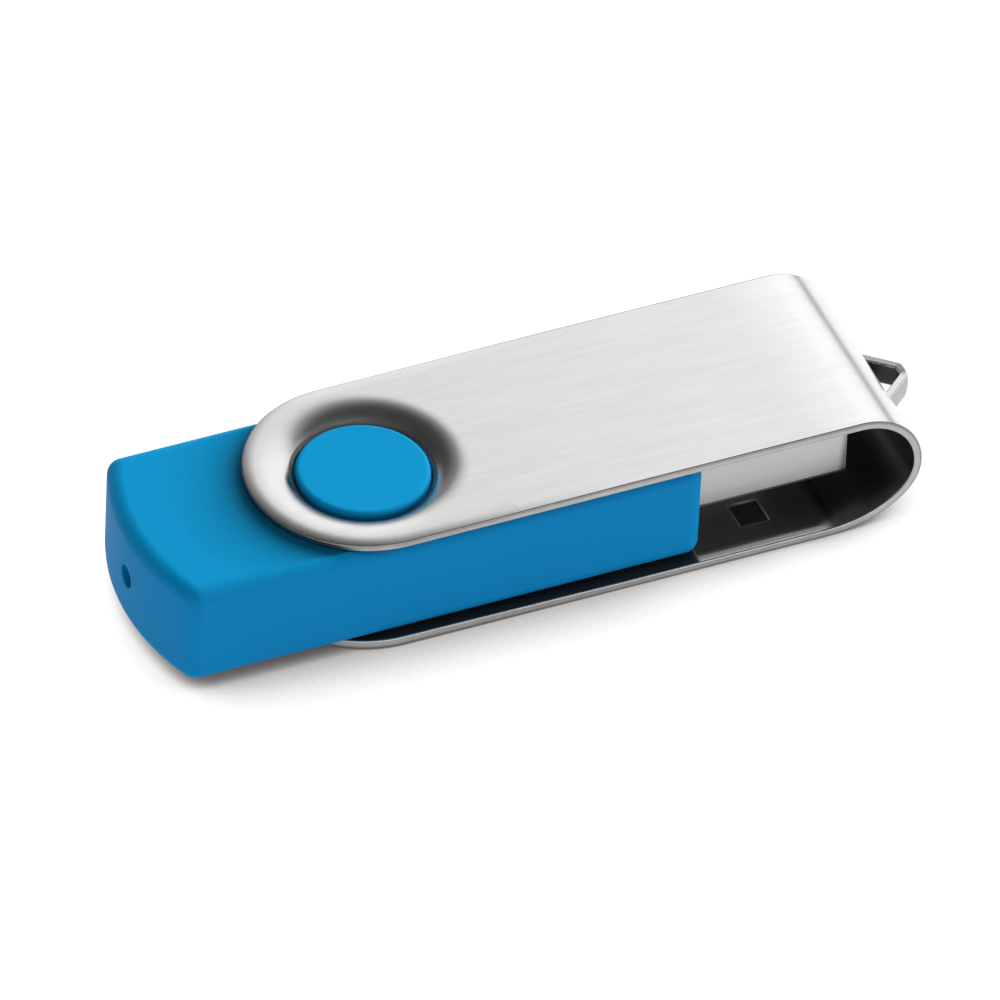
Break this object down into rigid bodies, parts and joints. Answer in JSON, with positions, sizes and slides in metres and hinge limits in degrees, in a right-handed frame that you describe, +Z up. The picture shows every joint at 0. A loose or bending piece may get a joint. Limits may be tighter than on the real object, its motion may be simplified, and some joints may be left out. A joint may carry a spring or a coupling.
{
  "type": "usb flash drive",
  "caption": "Swivel USB flash drive: a soft-touch plastic housing with round bosses turns in a U-shaped brushed steel cover with a key loop that shields the plug.",
  "frame": {"origin": "centre of the whole drive in plan with the cover closed over the plug, at the underside of the lower arm", "axes": "+X out of the plug, towards the key loop; +Y across the drive; +Z up, along the swivel axis"},
  "size_m": [0.063, 0.018, 0.0104],
  "materials": {
    "housing_plastic": "soft-touch matt blue",
    "cover_steel": "brushed along its length outside, polished inside",
    "plug_steel": "bright nickel plate",
    "tongue_plastic": "satin black",
    "gold_contact": "gold flash",
    "board_laminate": "green solder mask",
    "chip_resin": "matt black moulding resin",
    "tinned_lead": "tin plate",
    "capacitor_ceramic": "tan ceramic",
    "led_resin": "milky resin",
    "clear_plastic": "clear moulding"
  },
  "bodies": {
    "drive": {"housing": "housing_plastic", "front_collar": "housing_plastic", "plug_shell": "plug_steel", "plug_tongue": "tongue_plastic", "contact_power": "gold_contact", "contact_data_minus": "gold_contact", "contact_data_plus": "gold_contact", "contact_ground": "gold_contact", "circuit_board": "board_laminate", "memory_chip": "chip_resin", "memory_chip_leads": "tinned_lead", "controller_chip": "chip_resin", "controller_chip_leads": "tinned_lead", "voltage_regulator": "chip_resin", "voltage_regulator_leads": "tinned_lead", "crystal_can": "plug_steel", "crystal_terminals": "gold_contact", "capacitors": "capacitor_ceramic", "capacitor_terminals": "tinned_lead", "resistors": "chip_resin", "resistor_terminals": "tinned_lead", "activity_led": "led_resin", "light_guide": "clear_plastic", "contact_solder": "tinned_lead", "shell_anchor_solder": "tinned_lead"},
    "cover": {"swivel_cover": "cover_steel"}
  },
  "joints": [
    {"name": "swivel", "type": "hinge", "parent": "drive", "child": "cover", "pos_m": [-0.01268, 0, 0.0052], "axis": [0, 0, 1], "continuous": true}
  ]
}
